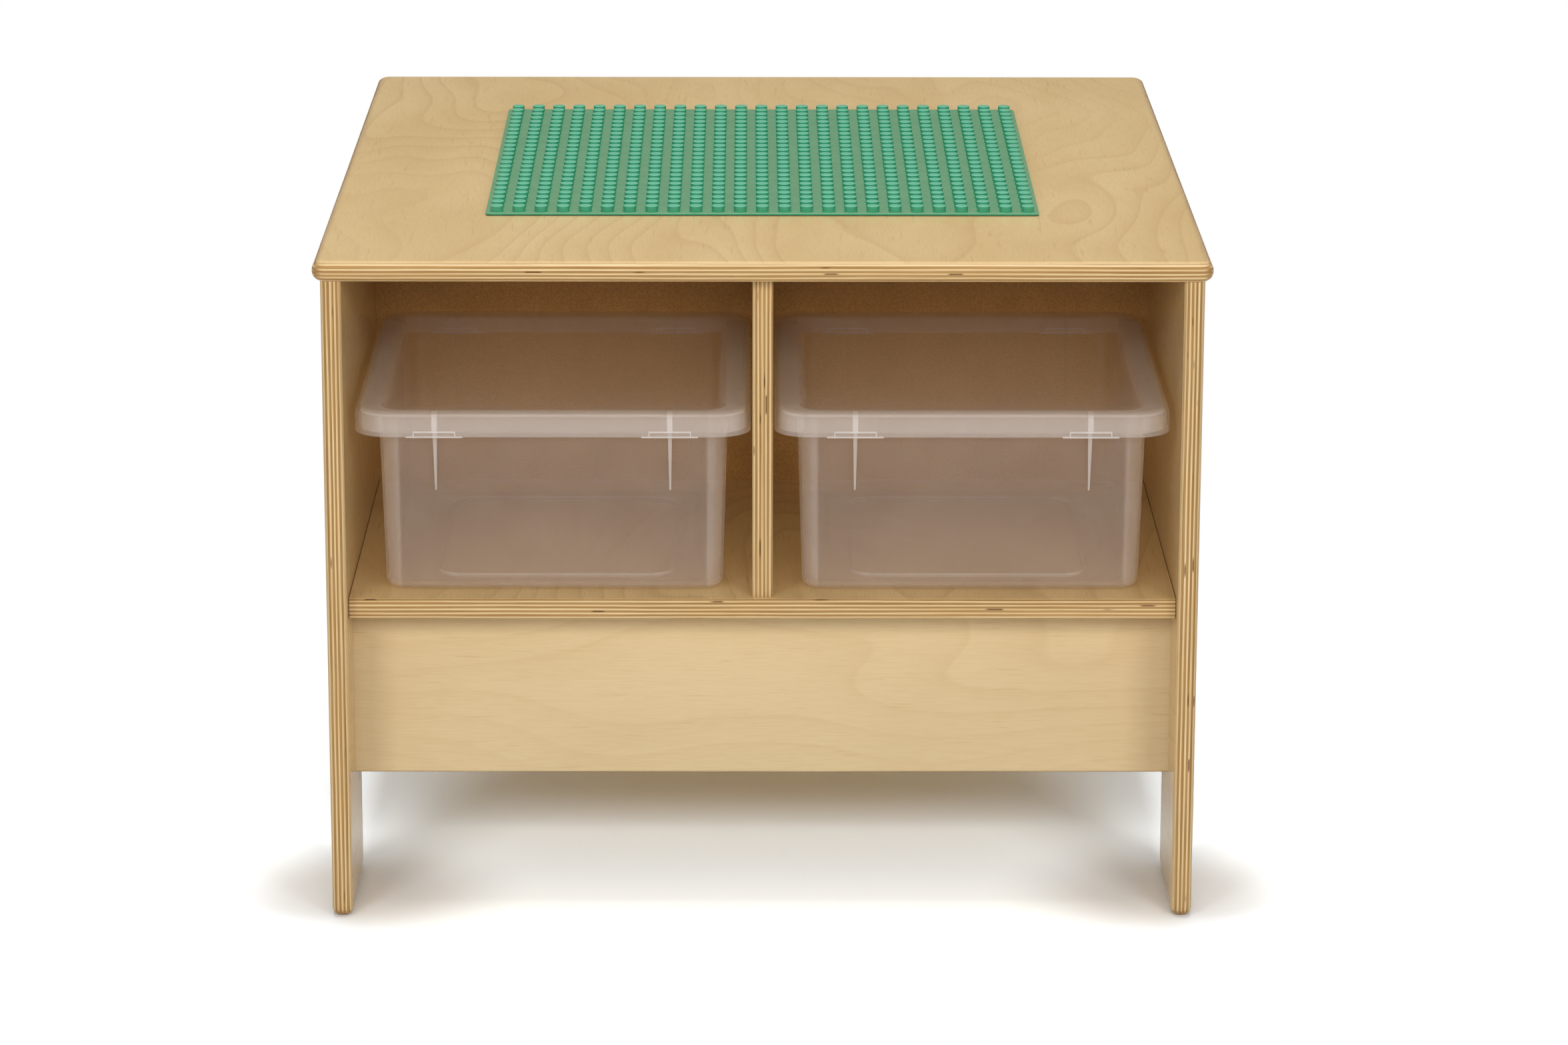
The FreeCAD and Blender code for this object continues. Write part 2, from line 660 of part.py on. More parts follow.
def make_lid(name, x, y):
    """A flat lid with a rounded edge, a skirt over the tub's rim and four snap tabs."""
    body = new_body(f"{name}_body")
    outline = new_sketch(body, f"{name}_outline")
    add_rectangle(outline, "lid", LID_WIDTH, LID_DEPTH, "lid_corner_radius")
    pad(body, outline, "lid_height")
    lid_top = value("lid_height")
    fillet(body, "lid_edge_radius", lambda edge: lies_at(edge, "Z", lid_top))
    inside_width = f"({LID_WIDTH} - 2 * lid_wall)"
    inside_depth = f"({LID_DEPTH} - 2 * lid_wall)"
    inside = new_sketch(body, f"{name}_inside")
    add_rectangle(inside, "inside", inside_width, inside_depth, "(lid_corner_radius - lid_wall)")
    pocket(body, inside, "lid_height - lid_wall", along_normal=True)
    inside_top = value("lid_height - lid_wall")
    fillet(body, "lid_edge_radius - lid_wall", lambda edge: lies_at(edge, "Z", inside_top))

    tabs = new_sketch(body, f"{name}_tabs")
    lands = new_sketch(body, f"{name}_tab_lands")
    for across in ("-", ""):
        for along in ("-", ""):
            tag = f"{'left' if across else 'right'}_{'front' if along else 'rear'}"
            x_middle = f"({across}rib_spacing / 2)"
            add_rectangle(tabs, tag, "tab_width", f"({TAB_DEPTH} + lid_wall / 2)", x=x_middle,
                          y=f"({along}({inside_depth} / 2 - {TAB_DEPTH} / 2 + lid_wall / 4))")
            add_rectangle(lands, tag, "tab_land_width", "lid_wall", x=x_middle,
                          y=f"({along}({LID_DEPTH} / 2 - lid_wall / 2))")
    pad(body, tabs, "tab_height")
    pad(body, lands, "tab_land_drop", downwards=True)

    gate = new_sketch(body, f"{name}_gate", lift="lid_height")
    add_circle(gate, "ring", "lid_gate_radius")
    add_circle(gate, "core", "lid_gate_core_radius")
    pocket(body, gate, "lid_gate_depth", along_normal=False)
    place(body, x, y, LID_Z)
    finish(body, name)


# The whole table

joint_cuts = make_joinery()
make_top(joint_cuts)
make_side_panel("left_side_panel", f"-{CARCASS_WIDTH} / 2", joint_cuts)
make_side_panel("right_side_panel", f"{INNER_WIDTH} / 2", joint_cuts)
make_shelf(joint_cuts)
make_center_panel()
make_baseplate()
for end, end_sign in (("front", "-"), ("rear", "")):
    make_divider(f"{end}_divider", end_sign, joint_cuts)
    make_apron(f"{end}_apron", f"{end_sign}{APRON_MIDDLE}", joint_cuts)
    for hand, hand_sign in (("left", "-"), ("right", "")):
        make_tub(f"{end}_{hand}_tub", f"{hand_sign}{TUB_X}", f"{end_sign}{TUB_Y}")
        make_lid(f"{end}_{hand}_lid", f"{hand_sign}{TUB_X}", f"{end_sign}{TUB_Y}")
doc.recompute()

for item in doc.Objects:
    if "Invalid" in item.State or "Error" in item.State:
        raise RuntimeError(f"{item.Name} failed: {item.State}")
for node in nodes:
    if node.Shape.isNull() or not node.Shape.isValid():
        raise RuntimeError(f"{node.Label} has no valid shape")

os.makedirs("parts", exist_ok=True)
for node in nodes:
    node.Shape.exportStep(f"parts/{node.Label}.step")
    print(f"{node.Label}: {len(node.Shape.Solids)} solids, {node.Shape.Volume / CUBIC_MM_IN_CM3:.1f} cm3")
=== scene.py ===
# %% [markdown]
# # A building block table
# A low play table of birch plywood. A green plate with studs covers the middle of its top, and four milky
# tubs with lids stand on a shelf under it. The boards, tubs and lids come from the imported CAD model, which
# is already the right size. Here they get their finishes, a plate with softly rounded studs, light and a
# camera.

import bpy
import numpy as np
from mathutils import Matrix, Vector


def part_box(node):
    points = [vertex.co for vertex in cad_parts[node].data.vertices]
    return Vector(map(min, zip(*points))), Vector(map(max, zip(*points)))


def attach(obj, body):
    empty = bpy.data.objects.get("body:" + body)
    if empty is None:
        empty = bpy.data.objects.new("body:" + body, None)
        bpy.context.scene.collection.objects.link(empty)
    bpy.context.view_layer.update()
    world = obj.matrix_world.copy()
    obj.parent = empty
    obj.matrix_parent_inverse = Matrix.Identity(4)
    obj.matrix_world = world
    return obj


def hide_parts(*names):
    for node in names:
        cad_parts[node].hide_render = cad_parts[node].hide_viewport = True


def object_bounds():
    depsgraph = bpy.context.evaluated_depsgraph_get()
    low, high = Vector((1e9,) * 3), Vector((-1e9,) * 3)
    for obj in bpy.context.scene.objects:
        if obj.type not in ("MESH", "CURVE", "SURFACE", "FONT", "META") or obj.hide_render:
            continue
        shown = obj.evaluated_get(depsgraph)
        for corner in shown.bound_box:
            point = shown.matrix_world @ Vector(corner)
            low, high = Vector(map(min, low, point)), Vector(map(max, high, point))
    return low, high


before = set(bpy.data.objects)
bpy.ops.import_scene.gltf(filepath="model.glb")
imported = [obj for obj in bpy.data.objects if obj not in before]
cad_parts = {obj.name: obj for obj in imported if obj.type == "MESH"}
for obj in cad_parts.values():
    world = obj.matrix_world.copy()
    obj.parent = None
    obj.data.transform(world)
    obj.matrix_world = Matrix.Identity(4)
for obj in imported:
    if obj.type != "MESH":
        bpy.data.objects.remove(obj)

# A look through two tubs and their lids meets many see-through surfaces
SEE_THROUGH_SURFACES = 24

cad_box = [list(corner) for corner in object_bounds()]
scene = bpy.context.scene
scene.view_settings.view_transform = "Standard"
scene.cycles.transparent_max_bounces = SEE_THROUGH_SURFACES

# %% [markdown]
# ## Shader values that do arithmetic
# A finish is a sum of patterns. Wiring each Math node by hand hides that sum, so one small class wraps a
# socket and lets Python's own operators add the nodes. Everything that is not arithmetic goes through its
# one `node` method.


# %% A socket that takes part in sums
class Shade:
    """One output socket of a shader tree; each operator on it adds a Math node."""

    def __init__(self, tree, socket=None):
        self.tree = tree
        self.socket = socket

    def node(self, kind, settings=None, sockets=None, output=0):
        """Add a node: set it up first, then give its sockets numbers or links."""
        made = self.tree.nodes.new("ShaderNode" + kind)
        for name, value in (settings or {}).items():
            setattr(made, name, value)
        for key, value in (sockets or {}).items():
            if isinstance(value, Shade):
                self.tree.links.new(value.socket, made.inputs[key])
            else:
                made.inputs[key].default_value = value
        return Shade(self.tree, made.outputs[output] if made.outputs else None)

    def math(self, operation, *values):
        """Add one Math node."""
        return self.node("Math", {"operation": operation}, dict(enumerate(values)))

    def __add__(self, other):
        return self.math("ADD", self, other)

    def __radd__(self, other):
        return self.math("ADD", other, self)

    def __sub__(self, other):
        return self.math("SUBTRACT", self, other)

    def __rsub__(self, other):
        return self.math("SUBTRACT", other, self)

    def __mul__(self, other):
        return self.math("MULTIPLY", self, other)

    def __rmul__(self, other):
        return self.math("MULTIPLY", other, self)

    def __truediv__(self, other):
        return self.math("DIVIDE", self, other)

    def __rtruediv__(self, other):
        return self.math("DIVIDE", other, self)

    def __abs__(self):
        return self.math("ABSOLUTE", self)


# %% [markdown]
# ## Small words for common patterns
# Every finish below needs the same few things: a soft step from one value to another, a blend of two
# colours, and cloudy noise with its own scale along each axis. Node groups could hold them, but short
# functions are easier to read and leave plain nodes behind.

# %% Steps and lengths
MM = 0.001
X, Y, Z = 0, 1, 2


def ramp(value, low, high):
    """0 below low, 1 above high and a smooth S between them."""
    return value.node("MapRange", {"interpolation_type": "SMOOTHSTEP"},
                      {"Value": value, "From Min": low, "From Max": high})


def fade(value, low, high):
    """The ramp turned over: 1 below low and 0 above high."""
    return 1.0 - ramp(value, low, high)


def larger(first, second):
    """The larger of two values."""
    return first.math("MAXIMUM", first, second)


def smaller(first, second):
    """The smaller of two values."""
    return first.math("MINIMUM", first, second)


def fraction(value):
    """What is left of a number after its whole part."""
    return value.math("FRACT", value)


def length(first, second):
    """The long side of a right triangle: the root of the sum of both squares."""
    return first.math("SQRT", first * first + second * second)


print("one millimetre is", MM, "m; the axes are", X, Y, Z)


# %% Colours
def mixed(share, first, second):
    """A colour that goes from first to second as share goes from 0 to 1."""
    return share.node("Mix", {"data_type": "RGBA"}, {0: share, 6: first, 7: second}, output=2)


def paint(red, green, blue):
    """A colour as a paint chart gives it, 0 to 255, turned into linear light by the sRGB curve."""
    chart = np.array([red, green, blue]) / 255
    linear = np.where(chart > 0.04045, ((chart + 0.055) / 1.055) ** 2.4, chart / 12.92)
    return (*linear.tolist(), 1.0)


WHITE = paint(255, 255, 255)
print("white paint is", WHITE, "and mid grey is %.3f" % paint(128, 128, 128)[0])


# %% Noise and directions
def split(vector):
    """The three numbers of a vector."""
    return [vector.node("SeparateXYZ", None, {0: vector}, output=axis) for axis in (X, Y, Z)]


def facing(start):
    """How squarely the surface faces along each axis: the normal's three numbers without their signs."""
    return [abs(part) for part in split(start.node("NewGeometry", output="Normal"))]


def even(waves):
    """The same number of waves along every axis."""
    return (waves, waves, waves)


def noise(place, waves, detail=2.0, rough=0.5):
    """Cloudy noise around 0.5, with its own number of waves to the metre along each axis."""
    stretched = place.node("VectorMath", {"operation": "MULTIPLY"}, {0: place, 1: waves})
    return place.node("TexNoise", None, {"Vector": stretched, "Scale": 1.0, "Detail": detail,
                                         "Roughness": rough})


print("even noise of ten waves to the metre:", even(10.0))


# %% Begin, end and put on a finish
def new_finish(name):
    """An empty material, with the Shade that starts its sums and the Object coordinates."""
    material = bpy.data.materials.new(name)
    material.use_nodes = True
    material.node_tree.nodes.clear()
    start = Shade(material.node_tree)
    return material, start, start.node("TexCoord", output="Object")


def end_finish(start, sockets, relief, depth):
    """Close a finish: one Principled shader, with its relief through a Bump node."""
    sockets["Normal"] = start.node("Bump", None, {"Height": relief, "Distance": depth, "Strength": 1.0})
    shader = start.node("BsdfPrincipled", None, sockets)
    start.node("OutputMaterial", None, {"Surface": shader})


def dress(nodes, material):
    """Give CAD nodes their finish, which leaves their meshes alone."""
    for node in nodes:
        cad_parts[node].data.materials.clear()
        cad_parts[node].data.materials.append(material)
    print(material.name, "on", ", ".join(nodes))


# %% [markdown]
# ## Birch plywood
# Each board is a stack of thin birch sheets, every second one turned by a right angle. On a face you see
# one sheet with its wavy figure, and on an edge you see them all: pale where the fibres run along the edge,
# brown where they are cut across. An unwrapped texture could not follow the rounded edges, so this finish
# fills the board as a solid: the depth below the face says which sheet a point is in, and the direction of
# the surface says how its fibres are cut.


# %% A board's own directions
class Board:
    """Where a board lies, which way its grain runs, and noise that follows the grain."""

    def __init__(self, node, along, through, place):
        self.low, self.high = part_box(node)
        self.along, self.through = along, through
        self.across = X + Y + Z - along - through
        self.place = place
        self.where = split(place)
        self.facing = facing(place)

    def noise(self, waves, detail, rough):
        """Noise with its waves to the metre given along the grain, across it and through the board."""
        in_order = [0.0, 0.0, 0.0]
        for axis, value in zip((self.along, self.across, self.through), waves):
            in_order[axis] = value
        return noise(self.place, in_order, detail, rough)


# %% The sheets of a board
SHEET_OF_WOOD = 1.44 * MM
INNER_SHEETS = 9
WAVER = (9.0, 9.0, 160.0)
WAVER_SHARE = 0.9


def sheet_depth(board, shift):
    """How many sheets lie below a point: 1 at the first glue line, and the lines waver a little."""
    low, high = board.low[board.through], board.high[board.through]
    face_sheet = (high - low - INNER_SHEETS * SHEET_OF_WOOD) / 2 + shift
    waver = board.noise(WAVER, 3.0, 0.6) - 0.5
    return (board.where[board.through] - (low + face_sheet)) / SHEET_OF_WOOD + 1.0 + waver * WAVER_SHARE


def cut_across(board, number):
    """1 where the surface cuts a sheet's fibres across; every second sheet is turned by a right angle."""
    turned = number.math("MODULO", number, 2.0)
    along, across = board.facing[board.along], board.facing[board.across]
    return ramp(along + turned * (across - along), 0.25, 0.75)


print("a sheet of wood is %.2f mm thick" % (SHEET_OF_WOOD / MM))

# %% The face of a board
ROLLING = (1.5, 3.8, 0.0)
FIGURED = (1.3, 2.6, 0.0)
TONE = (3.0, 9.0, 0.0)
DASH = (26.0, 420.0, 420.0)
RINGS_IN_ROLL = 26.0
RINGS_ACROSS = 20.0
LINE_BROWN = paint(178, 138, 92)
FIBRE_BROWN = paint(184, 148, 102)
DASH_BROWN = paint(176, 136, 88)


def figure_lines(board, seed):
    """Contour lines of a slowly rolling surface, as a log peeled off its centre gives.

    Each line darkens slowly, then fast, and ends sharply; some parts of the board show them less.
    """
    ring = board.noise(ROLLING, 2.0, 0.4) * RINGS_IN_ROLL + board.where[board.across] * RINGS_ACROSS + seed
    ring = fraction(ring)
    line = ramp(ring, 0.15, 0.93) * 0.45 + ramp(ring, 0.72, 0.95) * 0.55
    shown = 0.35 + ramp(board.noise(FIGURED, 1.0, 0.5), 0.36, 0.58) * 0.65
    return line * fade(ring, 0.93, 1.0) * shown


def face_colour(board, fibre, figure, tones, seed):
    """Two tones in soft clouds, under the figure's lines, the fibres and short dark dashes."""
    face = mixed(ramp(board.noise(TONE, 3.0, 0.55), 0.25, 0.75), *tones)
    face = mixed(figure_lines(board, seed) * figure, face, LINE_BROWN)
    face = mixed(ramp(fibre, 0.35, 0.75) * 0.16, face, FIBRE_BROWN)
    return mixed(ramp(board.noise(DASH, 1.0, 0.5), 0.64, 0.78) * 0.22, face, DASH_BROWN)


print("figure:", RINGS_ACROSS, "lines to the metre, and", RINGS_IN_ROLL, "to a roll")

# %% The edge of a board
PALE = (paint(194, 162, 112), paint(220, 194, 148))
BROWN = (paint(144, 106, 60), paint(180, 142, 90))
GLUE = paint(120, 78, 38)
FLAW = paint(84, 50, 24)
FLAWS_PER_METRE = 28.0
FLAW_STEP, FLAW_SEED = 7.3, 3.1


def edge_colour(board, depth, number, cut, streak, on_edge, seed):
    """Pale and brown sheets with streaks, a thin glue line between them and a few dark flaws."""
    streaked = ramp(streak, 0.3, 0.7)
    edge = mixed(cut, mixed(streaked, *PALE), mixed(streaked, *BROWN))
    inside = fraction(depth)
    from_glue = smaller(inside, 1.0 - inside)
    edge = mixed(fade(from_glue, 0.03, 0.14) * 0.35, edge, GLUE)
    spot = depth.node("CombineXYZ", None, {0: board.where[board.along] * FLAWS_PER_METRE,
                                           1: board.where[board.across] * FLAWS_PER_METRE,
                                           2: number * FLAW_STEP + seed * FLAW_SEED})
    flaw = depth.node("TexNoise", None, {"Vector": spot, "Scale": 1.0, "Detail": 1.0})
    flaw = ramp(flaw, 0.70, 0.75) * ramp(from_glue, 0.02, 0.3) * on_edge
    return mixed(flaw * 0.85, edge, FLAW)


print("an edge shows", INNER_SHEETS, "inner sheets between two faces")

# %% The whole plywood finish
FIBRE = (55.0, 1100.0, 1100.0)
STREAK = (7.0, 7.0, 1500.0)
SCUFF = even(60.0)
LACQUER = 0.12
JOINT_SHADE = paint(70, 44, 20)


def plywood(node, along, through, shift, figure, tones, seed):
    """Solid birch plywood for one board, from its own box and its grain and thickness axes."""
    material, start, place = new_finish(f"plywood_{node}")
    board = Board(node, along, through, place)
    depth = sheet_depth(board, shift)
    number = depth.math("FLOOR", depth)
    cut = cut_across(board, number)
    on_edge = fade(board.facing[through], 0.80, 0.99)
    fibre, streak = board.noise(FIBRE, 2.0, 0.6), board.noise(STREAK, 3.0, 0.65)
    colour = mixed(on_edge, face_colour(board, fibre, figure, tones, seed),
                   edge_colour(board, depth, number, cut, streak, on_edge, seed))
    if node == "shelf":
        # Painted shade: a thin dark line where the shelf's ends meet the side panels, for the shade in the
        # joint
        gap = ramp(abs(board.where[X]), board.high[X] - 0.9 * MM, board.high[X] - 0.3 * MM)
        colour = mixed(gap * 0.85, colour, JOINT_SHADE)
    gloss = 0.12 + noise(place, SCUFF, 4.0, 0.7) * 0.08 + on_edge * 0.06 + cut * on_edge * 0.08
    end_finish(start, {"Base Color": colour, "Roughness": gloss, "Specular IOR Level": LACQUER},
               fibre + streak * on_edge * 0.5, 0.02 * MM)
    return material


# %% Dress the boards
HONEY = (paint(218, 189, 138), paint(208, 177, 123))
# Painted light: the shelf's tones are paler than the other boards', so that it looks better lit than the
# lamps leave it
SHELF_PAINTED_LIGHTER = (paint(231, 201, 148), paint(221, 189, 133))
CREAM = (paint(213, 190, 149), paint(206, 183, 141))
SEED_STEP = 0.37

# Grain axis, thickness axis, how much thicker the lower face sheet is, strength of the figure, tones
boards = {
    "table_top": (Y, Z, -0.6 * MM, 0.23, HONEY),
    "shelf": (Y, Z, -0.4 * MM, 0.25, SHELF_PAINTED_LIGHTER),
    "left_side_panel": (Y, X, 0.1 * MM, 0.25, HONEY),
    "right_side_panel": (Y, X, -0.1 * MM, 0.25, HONEY),
    "front_divider": (Y, X, -0.3 * MM, 0.25, HONEY),
    "rear_divider": (Y, X, 0.3 * MM, 0.25, HONEY),
    "front_apron": (X, Y, 0.0, 0.15, CREAM),
    "rear_apron": (X, Y, 0.0, 0.15, CREAM),
}
for count, (node, board) in enumerate(boards.items()):
    dress([node], plywood(node, *board, SEED_STEP * count))

# %% [markdown]
# ## Dowels and hardboard
# The dowels are beech pegs, hidden in their holes until the table is taken apart. The centre panel is
# brown hardboard: pressed fibre, so it has no grain, only a fine speckle. Both could take a plain brown,
# but that looks dead up close, so noise breaks up the colour, the gloss and the surface.

# %% Beech
beech, start, place = new_finish("beech")
fleck = noise(place, even(260.0), 3.0, 0.6)
pink = mixed(ramp(fleck, 0.35, 0.7), paint(206, 168, 118), paint(176, 130, 84))
end_finish(start, {"Base Color": pink, "Roughness": 0.5 + fleck * 0.2}, fleck, 0.1 * MM)
dress(["top_dowels", "shelf_dowels", "apron_dowels", "divider_dowels"], beech)

# %% Hardboard
hardboard, start, place = new_finish("brown_hardboard")
speckle = noise(place, even(900.0), 3.0, 0.7)
cloud = noise(place, even(14.0), 3.0, 0.6)
brown = mixed(ramp(speckle, 0.3, 0.7), paint(181, 134, 72), paint(215, 169, 103))
brown = mixed(ramp(cloud, 0.3, 0.75) * 0.35, brown, paint(156, 112, 60))
end_finish(start, {"Base Color": brown, "Roughness": 0.5 + speckle * 0.2}, speckle, 0.05 * MM)
dress(["center_panel"], hardboard)

# %% [markdown]
# ## The building plate
# The real plate is one moulding: a thin sheet with 25 by 25 studs whose rims are rounded so that bricks
# slide on. Placing 625 cylinders would leave hidden bottoms and open seams. One cell of the grid is easier:
# rings run from the stud's top, over its rim and down its wall, out to the square border of the cell. All
# cells share their borders, so the surface closes by itself. Its foot stands back a little, because the
# real sheet is hollow below and shows a thin dark line there.

# %% The plate's sizes
plate_low, plate_high = (np.array(corner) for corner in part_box("baseplate"))
STUDS = 25
PITCH = (plate_high[X] - plate_low[X]) / STUDS
SHEET = 2.0 * MM
STUD_RADIUS = 4.7 * MM
RIM = 0.55 * MM
STUD_HEIGHT = plate_high[Z] - plate_low[Z] - SHEET
print("pitch %.1f mm, stud height %.1f mm" % (PITCH / MM, STUD_HEIGHT / MM))

# %% One stud cell
SEGMENTS = 20
RIM_TURN = np.radians([0.0, 45.0, 90.0])
turn = (np.arange(SEGMENTS) + 0.5) * 2 * np.pi / SEGMENTS
circle = np.stack([np.cos(turn), np.sin(turn)], axis=-1)


def stud_cell():
    """Rings of one cell: over the rim by a quarter turn, down the wall, then out to the square border.

    A border point is a point of the unit circle divided by the larger of its two parts.
    """
    radius = np.append(STUD_RADIUS - RIM + RIM * np.sin(RIM_TURN), STUD_RADIUS)
    height = np.append(STUD_HEIGHT - RIM + RIM * np.cos(RIM_TURN), [0.0, 0.0])
    border = PITCH / 2 * circle / np.abs(circle).max(axis=-1, keepdims=True)
    flat = np.concatenate([radius[:, None, None] * circle, border[None]])
    upright = np.broadcast_to(height[:, None, None], (len(height), SEGMENTS, 1))
    return np.concatenate([flat, upright + SHEET], axis=-1)


cell = stud_cell()
print("rings in a cell:", cell.shape[0], "points in a ring:", cell.shape[1])

# %% Strips and round corners
NO_LENGTH = 1e-9


def strips(rings):
    """Four corners for every step between neighbouring rings and round each ring, as point numbers."""
    near, far = rings[..., :-1, :], rings[..., 1:, :]
    return np.stack([near, far, np.roll(far, -1, axis=-1), np.roll(near, -1, axis=-1)], axis=-1)


def leaning(outward, lean):
    """Corner normals of strips: up by the cosine of the lean and outward by its sine, ring by ring."""
    following = np.roll(outward, -1, axis=0)
    beside = np.stack([outward, outward, following, following], axis=1)
    lean = np.radians(np.asarray(lean, float))[:, [0, 1, 1, 0]]
    level = np.sin(lean)[:, None, :, None] * beside[None]
    upright = np.broadcast_to(np.cos(lean)[:, None, :, None], (*level.shape[:-1], 1))
    return np.concatenate([level, upright], axis=-1).reshape(-1, 3)


def rounded_square(points, half, radius):
    """Pull points into a square with round corners: past a corner's centre they keep its radius."""
    points = np.clip(points, -half, half)
    past = np.maximum(np.abs(points) - (half - radius), 0)
    distance = np.linalg.norm(past, axis=-1, keepdims=True)
    past = past * np.minimum(1.0, radius / np.maximum(distance, NO_LENGTH))
    return np.sign(points) * (np.minimum(np.abs(points), half - radius) + past)


print("a corner point moves to", rounded_square(np.array([9.0, 9.0]), 8.0, 2.0).round(3))

# %% All cells of the plate
EDGE = 0.3 * MM
CORNER = 2.0 * MM
GATE_PLACE, GATE_REACH, GATE_HEIGHT = 6.5 * PITCH, 0.1 * MM, 0.3 * MM
half = PITCH * STUDS / 2
middles = (np.arange(STUDS) + 0.5) * PITCH - half
centres = np.stack(np.meshgrid(middles, middles, indexing="ij"), axis=-1).reshape(-1, 1, 1, 2)
cells = np.broadcast_to(cell, (STUDS * STUDS, *cell.shape)).copy()
cells[..., :2] += centres
cells[:, -1, :, :2] = rounded_square(cells[:, -1, :, :2], half - EDGE, CORNER - EDGE)

# Four small raised marks between the studs, where the plastic was let into the mould
gate = (np.abs(np.abs(cells[:, -1, :, :2]) - GATE_PLACE) < GATE_REACH).all(axis=-1)
cells[:, -1, :, Z] += GATE_HEIGHT * gate
cell_points = np.arange(cells[..., 0].size).reshape(cells.shape[:-1])
print("cells:", len(cells), "points that a gate mark raises:", int(gate.sum()))

# %% The plate's border
FOOT, FOOT_INSET = 0.9 * MM, 2.6 * MM
BORDER_TURN = np.radians(np.arange(-45.0, 45.0, 360 / SEGMENTS))
run = (middles[:, None] + PITCH / 2 * np.tan(BORDER_TURN)).ravel()
side = np.full_like(run, half)
sides = ((side, run), (-run, side), (-side, -run), (run, -side))
path = np.concatenate([np.stack(pair, axis=-1) for pair in sides])
inset = np.append(EDGE * (1 - np.sin(RIM_TURN)), [0.0, FOOT_INSET, FOOT_INSET])
drop = np.append(EDGE * (1 - np.cos(RIM_TURN)), [SHEET - FOOT, SHEET - FOOT, SHEET])
border = np.stack([
    np.append(rounded_square(path, half - gap, CORNER - gap), np.full((len(path), 1), SHEET - down), axis=1)
    for gap, down in zip(inset, drop)])
border_points = cells[..., 0].size + np.arange(border[..., 0].size).reshape(border.shape[:-1])
outward = np.maximum(np.abs(path) - (half - CORNER), 0) * np.sign(path)
outward /= np.linalg.norm(outward, axis=-1, keepdims=True)
print("border:", border.shape[0], "rings of", border.shape[1], "points")

# %% The closed plate
UP, DOWN = (0.0, 0.0, 1.0), (0.0, 0.0, -1.0)
CELL_LEAN = [(0, 45), (45, 90), (90, 90), (0, 0)]
BORDER_LEAN = [(0, 45), (45, 90), (90, 90), (180, 180), (90, 90)]

# The groups of faces, each with its corner normals: cells, stud tops, border and bottom
groups = [
    (strips(cell_points).reshape(-1, 4), np.tile(leaning(circle, CELL_LEAN), (STUDS * STUDS, 1))),
    (cell_points[:, 0], np.tile(UP, (STUDS * STUDS * SEGMENTS, 1))),
    (strips(border_points).reshape(-1, 4), leaning(outward, BORDER_LEAN)),
    (border_points[-1:, ::-1], np.tile(DOWN, (len(path), 1))),
]
plate_points = np.concatenate([cells.reshape(-1, 3), border.reshape(-1, 3)]) + [0.0, 0.0, plate_low[Z]]
print("plate:", len(plate_points), "points before its seams are merged")

# %% Put a surface into Blender
MERGE_DIGITS = 7


def new_piece(name, points, groups):
    """One object: points at the same place become one, faces and corner normals go in as whole arrays."""
    kept, number = np.unique(np.round(points, MERGE_DIGITS), axis=0, return_inverse=True)
    corners = number.ravel()[np.concatenate([faces.ravel() for faces, _ in groups])]
    sizes = np.concatenate([np.full(len(faces), faces.shape[1]) for faces, _ in groups])
    mesh = bpy.data.meshes.new(name)
    mesh.vertices.add(len(kept))
    mesh.vertices.foreach_set("co", kept.ravel())
    mesh.loops.add(len(corners))
    mesh.loops.foreach_set("vertex_index", corners)
    mesh.polygons.add(len(sizes))
    mesh.polygons.foreach_set("loop_start", np.cumsum(sizes) - sizes)
    mesh.update(calc_edges=True)
    mesh.shade_smooth()
    mesh.normals_split_custom_set(np.concatenate([normals for _, normals in groups]))
    piece = bpy.data.objects.new(name, mesh)
    scene.collection.objects.link(piece)
    print(name, len(kept), "points", len(sizes), "faces, valid:", not mesh.validate())
    return piece


plate = new_piece("building_plate", plate_points, groups)
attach(plate, "table")
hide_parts("baseplate")

# %% [markdown]
# ## Green plastic
# The plate is dyed through and has a soft gloss. Where it is thin, light reaches the wood below and comes
# back greyer, and the studs and the edge look deeper. The tops of the studs are painted paler: a painted
# highlight for the light that falls on them from above. Two materials would leave a hard line between sheet
# and studs, so one material blends its colours by height.

# %% The green finish
THIN = (paint(105, 158, 116), paint(111, 163, 121))
THICK = (paint(51, 144, 108), paint(57, 150, 114))
PAINTED_TOP_LIGHT = paint(114, 194, 160)

green, start, place = new_finish("green_plastic")
height = split(place)[Z]
mottle = noise(place, even(90.0), 3.0, 0.6)
mottled = ramp(mottle, 0.3, 0.7)
upright = fade(facing(start)[Z], 0.1, 0.5)
stud = larger(ramp(height - (plate_low[Z] + SHEET), 0.2 * MM, 1.2 * MM), upright)
# Painted highlight: the top half millimetre of each stud is made paler, for the light that falls on it from
# above
top_highlight = ramp(height - plate_high[Z], -0.45 * MM, -0.1 * MM)
thick = mixed(top_highlight * 0.75, mixed(mottled, *THICK), PAINTED_TOP_LIGHT)
colour = mixed(stud, mixed(mottled, *THIN), thick)
end_finish(start, {"Base Color": colour, "Roughness": 0.22 + mottle * 0.04, "Specular IOR Level": 0.5},
           mottle, 0.003 * MM)
plate.data.materials.append(green)
print(green.name, "on", plate.name, "with", len(green.node_tree.nodes), "nodes")

# %% [markdown]
# ## Milky tubs and lids
# The tubs and lids are moulded in unpigmented polypropylene, which is milky: it scatters part of the light
# and lets the rest through. A glass shader would be too clear and slow. So each surface is mostly
# see-through, and the rest of it is a white satin plastic with a little Translucent, which glows with the
# light behind it. A gloss lies over both. Every wall has two surfaces, so the milkiness adds up where walls
# overlap, as it does in the real ones, and masks make it denser where the plastic is thick.

